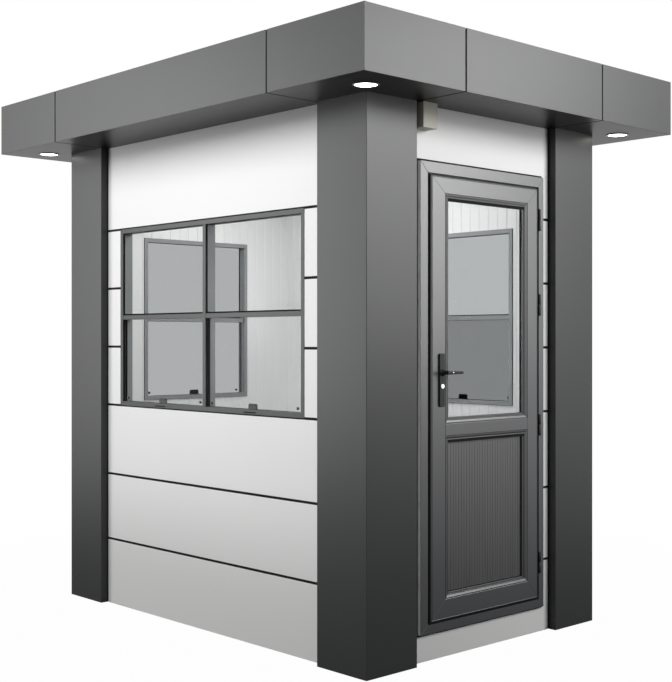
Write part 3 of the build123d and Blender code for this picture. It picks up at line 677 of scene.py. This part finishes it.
foil, tree, place = new_finish("anthracite_pvc_foil")
stretched = add(tree, "ShaderNodeMapping", {"Vector": place, "Scale": (1.0, 1.0, 0.12)})
grain = add(tree, "ShaderNodeTexNoise", {"Vector": stretched.outputs[0], "Scale": 1 / FOIL_GRAIN, "Detail": 2.0})
drift = add(tree, "ShaderNodeTexNoise", {"Vector": place, "Scale": 1 / (320 * MM), "Detail": 1.0})
coat = add(tree, "ShaderNodeMix", {0: drift.outputs[0], 6: tone("#3c3d3f"), 7: tone("#414244")}, data_type="RGBA")
satin = add(tree, "ShaderNodeMapRange", {"Value": grain.outputs[0], "To Min": 0.3, "To Max": 0.42})
skin = add(tree, "ShaderNodeBump", {"Height": grain.outputs[0], "Strength": 0.15, "Distance": 0.1 * MM})
close(tree, add(tree, "ShaderNodeBsdfPrincipled", {
    "Base Color": coat.outputs[2], "Roughness": satin.outputs[0], "IOR": 1.53, "Normal": skin.outputs[0],
    "Specular IOR Level": 0.75,
}))

made = bmesh.new()
mitred(made, FRAME_OUTSIDE, FRAME_FACES, ((0, 0, -17), (1, 0, -17), (1, 0, 0), (1, -6, 0), (0, 0, 0)))
mitred(made, FRAME_OUTSIDE, FRAME_FLOORS, ((0, 0, 0), (1, 0, 0), (1, 0, 50), (0, 0, 50)))
soften(made, 1.3)
piece("door_frame_profiles", made, doorway, foil, "cabin", "door_frame", "door_frame")
# painted light: the rim's left side face, in the column's shade, is covered with the pale white PVC instead of the dark
# foil
made = bmesh.new()
x0, x1, z0, z1 = FRAME_OUTSIDE
plate(made, oblong(x0 - 0.8, x0, z0 + 2, z1 - 2), -15.7, -0.5)
soften(made, 0.3, 1)
piece("door_frame_painted_lit_edge", made, doorway, pvc_board, "cabin", "door_frame")

made = bmesh.new()
x0, x1, z0, z1 = LEAF_OUTSIDE
mitred(made, (x0 - GASKET_SPREAD, x1 + GASKET_SPREAD, z0 - GASKET_SPREAD, z1 + GASKET_SPREAD), (0, 0, 0, 0), GASKET)
soften(made, 0.6, 1)
mitred(made, DOOR_CUT, [abs(cut - edge) for cut, edge in zip(DOOR_CUT, FRAME_OUTSIDE)],
       ((0, 0, JOINT_STRIP[0]), (1, 0, JOINT_STRIP[0]), (1, 0, JOINT_STRIP[1]), (0, 0, JOINT_STRIP[1])))
# painted shadow: a black strip over the top edge of the frame's bottom rim, where the leaf casts its shadow
sill = FRAME_OUTSIDE[2] + FRAME_FACES[2]
plate(made, oblong(FRAME_OUTSIDE[0] + FRAME_FACES[0], FRAME_OUTSIDE[1] - FRAME_FACES[1], sill - 5, sill + 3), -17.4, -5)
piece("door_gasket_and_painted_shadow", made, doorway, rubber, "cabin", "black_rubber", "door_seal")

made = bmesh.new()
mitred(made, LEAF_OUTSIDE, LEAF_FACES, LEAF_SECTION)
aperture_left = LEAF_OUTSIDE[0] + LEAF_FACES[0]
aperture_right = LEAF_OUTSIDE[1] - LEAF_FACES[1]
rail_low, rail_high = MIDDLE_RAIL
bar(made, [(aperture_left, y, rail_low + z) for z, y in MIDDLE_RAIL_SECTION],
    [(aperture_right, y, rail_low + z) for z, y in MIDDLE_RAIL_SECTION])
soften(made, 0.6, 1)
piece("door_leaf_profiles", made, doorway, foil, "door_leaf", "door_frame", "door_leaf_frame")

made = bmesh.new()
for low, high in APERTURES:
    mitred(made, (aperture_left, aperture_right, low, high), BEAD_SHIFTS, BEAD_SECTION)
    mitred(made, (aperture_left, aperture_right, low, high), (0, 0, 0, 0), INNER_BEAD_SECTION)
soften(made, 0.4, 1)
lips = bmesh.new()
for low, high in APERTURES:
    mitred(lips, (aperture_left, aperture_right, low, high), BEAD_SHIFTS, BEAD_LIP)
    # painted shade: the black strip under each top bead
    inset, reach, near, far = TOP_SHADE_STRIP
    plate(lips, oblong(aperture_left + inset, aperture_right - inset, high - reach, high - inset), near, far)
piece("door_bead_lips_and_painted_shade", lips, doorway, rubber, "door_leaf", "black_rubber")
piece("door_beads", made, doorway, foil, "door_leaf", "door_frame", "door_glazing_beads")


# Door glass and lower panel
# A sealed unit of two clear 4 mm panes on a black spacer above, and below it a moulded
# board with upright ribs, covered in the same foil, that is grooved right through it.
UNIT_EDGE = 3
UNIT_PANES = ((-2, 2), (14, 18))
SPACER_WIDTH = 5
RIB_PITCH = 17.5
RIB_GROOVE = 4.2
RIB_DEPTH = 1.3
BOARD_FACES = (-2, 18)
FIELD_FACE = -7
FIELD_INSET = 28.2

low, high = APERTURES[1]
unit = (aperture_left + UNIT_EDGE, aperture_right - UNIT_EDGE, low + UNIT_EDGE, high - UNIT_EDGE)
made = bmesh.new()
for near, far in UNIT_PANES:
    plate(made, oblong(*unit), near, far)
soften(made, 0.4, 1)
piece("door_panes", made, doorway, clear_glass, "door_leaf", "window_glass", "door_glass")
made = bmesh.new()
mitred(made, unit, (0, 0, 0, 0), ((0, 0, 2), (0, SPACER_WIDTH, 2), (0, SPACER_WIDTH, 14), (0, 0, 14)))
piece("door_pane_spacer", made, doorway, rubber, "door_leaf", "black_rubber")

low, high = APERTURES[0]
made = bmesh.new()
plate(made, oblong(aperture_left + UNIT_EDGE, aperture_right - UNIT_EDGE, low + UNIT_EDGE, high - UNIT_EDGE), *BOARD_FACES)
x0 = aperture_left + FIELD_INSET
x1 = aperture_right - FIELD_INSET
back = BOARD_FACES[0]
ribs = int((x1 - x0 - RIB_PITCH / 2) / RIB_PITCH)
start = (x0 + x1) / 2 - (ribs - 1) * RIB_PITCH / 2
outline = [(x1, FIELD_FACE), (x1, back), (x0, back), (x0, FIELD_FACE)]
for index in range(ribs):
    x = start + index * RIB_PITCH
    outline += [(x - RIB_GROOVE / 2, FIELD_FACE), (x - 0.7, FIELD_FACE + RIB_DEPTH), (x + 0.7, FIELD_FACE + RIB_DEPTH),
                (x + RIB_GROOVE / 2, FIELD_FACE)]
bar(made, [(x, y, low + FIELD_INSET) for x, y in outline], [(x, y, high - FIELD_INSET) for x, y in outline])

ribbed_foil, tree, place = new_finish("ribbed_pvc_foil")
stretched = add(tree, "ShaderNodeMapping", {"Vector": place, "Scale": (1.0, 1.0, 0.05)})
grain = add(tree, "ShaderNodeTexNoise", {"Vector": stretched.outputs[0], "Scale": 1 / (9 * MM), "Detail": 2.0})
coat = add(tree, "ShaderNodeMix", {0: grain.outputs[0], 6: tone("#29292a"), 7: tone("#353636")}, data_type="RGBA")
satin = add(tree, "ShaderNodeMapRange", {"Value": grain.outputs[0], "To Min": 0.35, "To Max": 0.5})
close(tree, add(tree, "ShaderNodeBsdfPrincipled", {
    "Base Color": coat.outputs[2], "Roughness": satin.outputs[0], "IOR": 1.53, "Specular IOR Level": 0.9,
}))
piece("door_ribbed_board", made, doorway, ribbed_foil, "door_leaf", "door_panel", "door_ribbed_panel")


# Door hinges
# Four turned steel knuckles in satin black, the lower one on a foot screwed to the rim of
# the frame, the upper one on a bent arm screwed to the edge of the leaf. The pins are not drawn.
HINGE_AXIS = (370, -24)
HINGE_MIDDLES = (330, 969, 1526, 1921)
KNUCKLE = [(0, 0), (4.2, 0), (5.6, 0.8), (6, 2.2), (6, 48.6), (5.6, 49.4), (0, 49.4)]
PIN = [(0, 0), (3, 0), (3, 44), (2.4, 46), (0, 46)]
SCREW = [(0, -2), (2.9, -2), (2.9, 0), (2.5, 0.6), (1.4, 0.9), (0, 0.9)]
FOOT = (370, 386, -21, -17)

satin_black, tree, place = new_finish("satin_black_steel")
peel = add(tree, "ShaderNodeTexNoise", {"Vector": place, "Scale": 1 / (1.5 * MM), "Detail": 2.0})
black = add(tree, "ShaderNodeMix", {0: peel.outputs[0], 6: tone("#121212"), 7: tone("#1b1b1b")}, data_type="RGBA")
satin = add(tree, "ShaderNodeMapRange", {"Value": peel.outputs[0], "To Min": 0.35, "To Max": 0.48})
close(tree, add(tree, "ShaderNodeBsdfPrincipled", {
    "Base Color": black.outputs[2], "Roughness": satin.outputs[0], "IOR": 1.5,
}))
axis_x, axis_y = HINGE_AXIS
foot_left, foot_right, foot_front, foot_back = FOOT
fixed = bmesh.new()
hung = bmesh.new()
pins = bmesh.new()
for middle in HINGE_MIDDLES:
    plate(fixed, oblong(foot_left, foot_right, middle - 50, middle - 0.5), foot_front, foot_back)
    plate(hung, oblong(364, 368, middle + 0.2, middle + 50), axis_y, -13)
    plate(hung, oblong(355, 364, middle + 0.2, middle + 50), -17, -13)
soften(fixed, 0.8)
soften(hung, 0.6)
for middle in HINGE_MIDDLES:
    turned(fixed, KNUCKLE, Matrix.Translation((axis_x, axis_y, middle - 50)), steps=32)
    turned(hung, KNUCKLE, Matrix.Translation((axis_x, axis_y, middle + 50)) @ Matrix.Rotation(math.pi, 4, "X"), steps=32)
    for rise in (-38, -13):
        turned(fixed, SCREW, Matrix.Translation((380.5, foot_front, middle + rise)) @ OUT_OF_WALL, steps=16)
piece("hinge_lower_knuckles", fixed, doorway, satin_black, "cabin", "hinge_black", "hinge_frame_halves", round_to=35)
piece("hinge_upper_knuckles", hung, doorway, satin_black, "door_leaf", "hinge_black", "hinge_leaf_halves", round_to=35)


# Lever handle and lock
# Die-cast levers and long plates in a dark satin coating on both faces of the lock stile,
# with countersunk screws, a set screw in each neck and a nickel-plated profile cylinder.
LEVER = (-305, 1224)
CYLINDER_LEVEL = 1166
PLATE_HALF = 16
PLATE_LEVELS = (1078, 1306)
PLATE_FACES = ((-33, -25), (35, 43))
NECK = [(0, 0), (14.5, 0), (14.5, 2), (11, 4.5), (9, 8), (8.4, 20), (8.6, 36), (7.6, 39.6), (0, 39.6)]
GRIP = [(-6, -7.6), (20, -7.6), (88, -5.8), (92, -3), (92, 3), (88, 5.8), (20, 7.6), (-6, 7.6)]
BARREL = [(0, -8), (10, -8), (10, 2), (9.4, 2.5), (0, 2.5)]
HEAD = [(0, -2), (4.2, -2), (4.2, 0.1), (3.4, 0.5), (0, 0.5)]

lever_x, lever_z = LEVER
plates = bmesh.new()
plate_screws = bmesh.new()
barrels = bmesh.new()
keyways = bmesh.new()
levers = bmesh.new()
set_screws = bmesh.new()
for near, far in PLATE_FACES:
    plate(plates, oblong(lever_x - PLATE_HALF, lever_x + PLATE_HALF, *PLATE_LEVELS), near, far)
corners = [edge for edge in plates.edges if abs(edge.verts[0].co.y - edge.verts[1].co.y) > 1]
soften(plates, 7, 5, corners)
soften(plates, 1.4, 2)
for (near, far), outward in zip(PLATE_FACES, (1, -1)):
    face = near if outward == 1 else far
    turn = OUT_OF_WALL if outward == 1 else Matrix.Rotation(-math.pi / 2, 4, "X")
    for level in (PLATE_LEVELS[0] + 14, PLATE_LEVELS[1] - 14):
        turned(plate_screws, HEAD, Matrix.Translation((lever_x, face, level)) @ turn, steps=24)
    turned(barrels, BARREL, Matrix.Translation((lever_x, face, CYLINDER_LEVEL)) @ turn, steps=40)
    key_face = face - outward * 2.5
    plate(keyways, oblong(lever_x - 0.9, lever_x + 0.9, CYLINDER_LEVEL - 7, CYLINDER_LEVEL + 3),
          *sorted((key_face - outward * 0.15, key_face + outward * 1)))
    grip_back = face - outward * 28
    plate(levers, [(lever_x + x, lever_z + z) for x, z in GRIP], *sorted((grip_back, grip_back - outward * 12)))
soften(levers, 2.6, 3)
for (near, far), outward in zip(PLATE_FACES, (1, -1)):
    face = near if outward == 1 else far
    turn = OUT_OF_WALL if outward == 1 else Matrix.Rotation(-math.pi / 2, 4, "X")
    turned(levers, NECK, Matrix.Translation((lever_x, face - outward * 0.3, lever_z)) @ turn, steps=40)
    grip_front = face - outward * 40
    turned(set_screws, HEAD, Matrix.Translation((lever_x + 26, grip_front, lever_z)) @ turn @ Matrix.Scale(0.6, 4),
           steps=20)

dark_satin, tree, place = new_finish("dark_satin_die_cast")
cast = add(tree, "ShaderNodeTexNoise", {"Vector": place, "Scale": 1 / (1.2 * MM), "Detail": 2.0})
black = add(tree, "ShaderNodeMix", {0: cast.outputs[0], 6: tone("#1b1c1c"), 7: tone("#262727")}, data_type="RGBA")
satin = add(tree, "ShaderNodeMapRange", {"Value": cast.outputs[0], "To Min": 0.3, "To Max": 0.42})
close(tree, add(tree, "ShaderNodeBsdfPrincipled", {
    "Base Color": black.outputs[2], "Roughness": satin.outputs[0], "IOR": 1.5, "Specular IOR Level": 0.2,
}))
piece("handle_long_plates", plates, doorway, dark_satin, "door_leaf", "lever_metal", "handle_plates")
piece("handle_plate_screws", plate_screws, doorway, dark_satin, "door_leaf", "lever_metal", round_to=35)
piece("lever_pair", levers, doorway, dark_satin, "door_lever", "lever_metal", "lever_handle", round_to=35)
piece("lever_set_screws", set_screws, doorway, nickel, "door_lever", "cylinder_steel", round_to=35)
piece("cylinder_barrels", barrels, doorway, nickel, "door_leaf", "cylinder_steel", "lock_cylinder", round_to=35)
piece("cylinder_keyways", keyways, doorway, rubber, "door_leaf", "black_rubber")


# Junction box
# Moulded ABS in a warm light grey, screwed to the boards close under the soffit: a base
# with a fine joint round its lid, four recessed screws and softly rounded edges.
BOX = (-451, -365, 2250, 2358)
BOX_LID = (-60, -51)
BOX_BASE = (-50, 0)

abs_plastic, tree, place = new_finish("light_grey_abs")
texture = add(tree, "ShaderNodeTexNoise", {"Vector": place, "Scale": 1 / (1.5 * MM), "Detail": 2.0})
grey = add(tree, "ShaderNodeMix", {0: texture.outputs[0], 6: tone("#b3b1a3"), 7: tone("#bbb9ab")}, data_type="RGBA")
skin = add(tree, "ShaderNodeBump", {"Height": texture.outputs[0], "Strength": 0.2, "Distance": 0.1 * MM})
close(tree, add(tree, "ShaderNodeBsdfPrincipled", {
    "Base Color": grey.outputs[2], "Roughness": 0.5, "IOR": 1.54, "Normal": skin.outputs[0],
}))
x0, x1, z0, z1 = BOX
made = bmesh.new()
plate(made, oblong(x0, x1, z0, z1), *BOX_BASE)
plate(made, oblong(x0 + 1.5, x1 - 1.5, z0 + 1.5, z1 - 1.5), BOX_LID[1], BOX_BASE[0])
plate(made, oblong(x0, x1, z0, z1), *BOX_LID)
soften(made, 4, 3, [edge for edge in made.edges if abs(edge.verts[0].co.y - edge.verts[1].co.y) > 0.5])
soften(made, 1.2)
piece("junction_box_body", made, doorway, abs_plastic, "cabin", "box_plastic", "junction_box")
made = bmesh.new()
for x in (x0 + 9, x1 - 9):
    for z in (z0 + 9, z1 - 9):
        turned(made, HEAD, Matrix.Translation((x, BOX_LID[0], z)) @ OUT_OF_WALL, steps=16)
piece("junction_box_screws", made, doorway, abs_plastic, "cabin", "box_plastic", round_to=35)


# Studio
# A plain pale floor and world that show white to the camera, plain soft boxes in front of
# the window side and the door side, a small one under the ceiling, and the camera of the
# photograph at eye height.
FLOOR_REACH = 60

floor_mesh = bpy.data.meshes.new("studio_floor")
made = bmesh.new()
bmesh.ops.create_grid(made, x_segments=1, y_segments=1, size=FLOOR_REACH)
made.to_mesh(floor_mesh)
made.free()
floor = bpy.data.objects.new("studio_floor", floor_mesh)
bpy.context.scene.collection.objects.link(floor)
floor.location.z = -0.0005
paper, tree, place = new_finish("studio_paper")
path = add(tree, "ShaderNodeLightPath")
seen = add(tree, "ShaderNodeMath", {0: path.outputs["Is Camera Ray"], 1: path.outputs["Is Transmission Ray"]},
           operation="MAXIMUM")
reach = add(tree, "ShaderNodeVectorMath", {0: place}, operation="LENGTH")
fade = add(tree, "ShaderNodeMapRange", {"Value": reach.outputs["Value"], "From Min": 1.2, "From Max": 4.0,
                                        "To Min": 0.985, "To Max": 1.0}, interpolation_type="SMOOTHSTEP")
far_off = add(tree, "ShaderNodeMapRange", {"Value": reach.outputs["Value"], "From Min": 2.5, "From Max": 9.0,
                                           "To Min": 0.0, "To Max": 1.0}, interpolation_type="SMOOTHSTEP")
shown = add(tree, "ShaderNodeMath", {0: seen.outputs[0], 1: fade.outputs[0]}, operation="MULTIPLY")
mirrored = add(tree, "ShaderNodeMath", {0: path.outputs["Is Glossy Ray"], 1: far_off.outputs[0]},
               operation="MULTIPLY")
share = add(tree, "ShaderNodeMath", {0: shown.outputs[0], 1: mirrored.outputs[0]}, operation="MAXIMUM")
matt = add(tree, "ShaderNodeBsdfDiffuse", {"Color": tone("#4e4e4e")})
white = add(tree, "ShaderNodeEmission", {"Strength": 1.0})
close(tree, add(tree, "ShaderNodeMixShader", {0: share.outputs[0], 1: matt.outputs[0], 2: white.outputs[0]}))
floor_mesh.materials.append(paper)

world = bpy.data.worlds.new("studio")
bpy.context.scene.world = world
world.use_nodes = True
tree = world.node_tree
tree.nodes.clear()
path = add(tree, "ShaderNodeLightPath")
seen = add(tree, "ShaderNodeMath", {0: path.outputs["Is Camera Ray"], 1: path.outputs["Is Glossy Ray"]},
           operation="MAXIMUM")
seen = add(tree, "ShaderNodeMath", {0: seen.outputs[0], 1: path.outputs["Is Transmission Ray"]}, operation="MAXIMUM")
dim = add(tree, "ShaderNodeBackground", {"Color": tone("#ffffff"), "Strength": 0.12})
bright = add(tree, "ShaderNodeBackground", {"Color": tone("#ffffff"), "Strength": 1.0})
both = add(tree, "ShaderNodeMixShader", {0: seen.outputs[0], 1: dim.outputs[0], 2: bright.outputs[0]})
add(tree, "ShaderNodeOutputWorld", {"Surface": both.outputs[0]})


def soft_box(name, place, target, width, height, power):
    """A rectangular soft light that the camera doesn't see"""
    lamp = bpy.data.lights.new(name, "AREA")
    lamp.shape = "RECTANGLE"
    lamp.size = width
    lamp.size_y = height
    lamp.energy = power
    holder = bpy.data.objects.new(name, lamp)
    bpy.context.scene.collection.objects.link(holder)
    holder.location = place
    holder.rotation_euler = (Vector(target) - Vector(place)).to_track_quat("-Z", "Y").to_euler()
    holder.visible_camera = False


soft_box("box_far_left", (-5.0, -4.6, 2.3), (-1.5, -0.7, 1.5), 1.8, 3.9, 88)
soft_box("box_near_left", (-3.2, -4.6, 2.3), (-1.0, -0.7, 1.5), 1.8, 3.9, 56)
soft_box("box_front_high", (0.6, -4.6, 3.9), (0.2, -0.7, 1.5), 1.8, 2.2, 142)
soft_box("box_camera", (4.3, -4.3, 2.6), (0.9, -0.6, 1.5), 1.2, 1.6, 12)
soft_box("box_right_high", (5.0, 2.5, 3.6), (1.1, 0.7, 1.5), 3.4, 1.3, 165)
soft_box("box_right", (5.0, 3.2, 2.2), (1.1, 1.0, 1.5), 1.8, 1.8, 70)
soft_box("box_inside", (0.0, 0.0, 2.30), (0.0, 0.0, 0.0), 1.4, 0.8, 17)

camera_data = bpy.data.cameras.new("camera")
camera = bpy.data.objects.new("camera", camera_data)
bpy.context.scene.collection.objects.link(camera)
camera.location = (4.641, -4.104, 1.367)
camera.rotation_euler = (math.radians(90), 0, math.radians(46.38))
camera_data.sensor_width = 36
camera_data.lens = 63.92
camera_data.shift_x = -0.0414
camera_data.shift_y = -0.0028
bpy.context.scene.camera = camera
bpy.context.scene.view_settings.view_transform = "Standard"
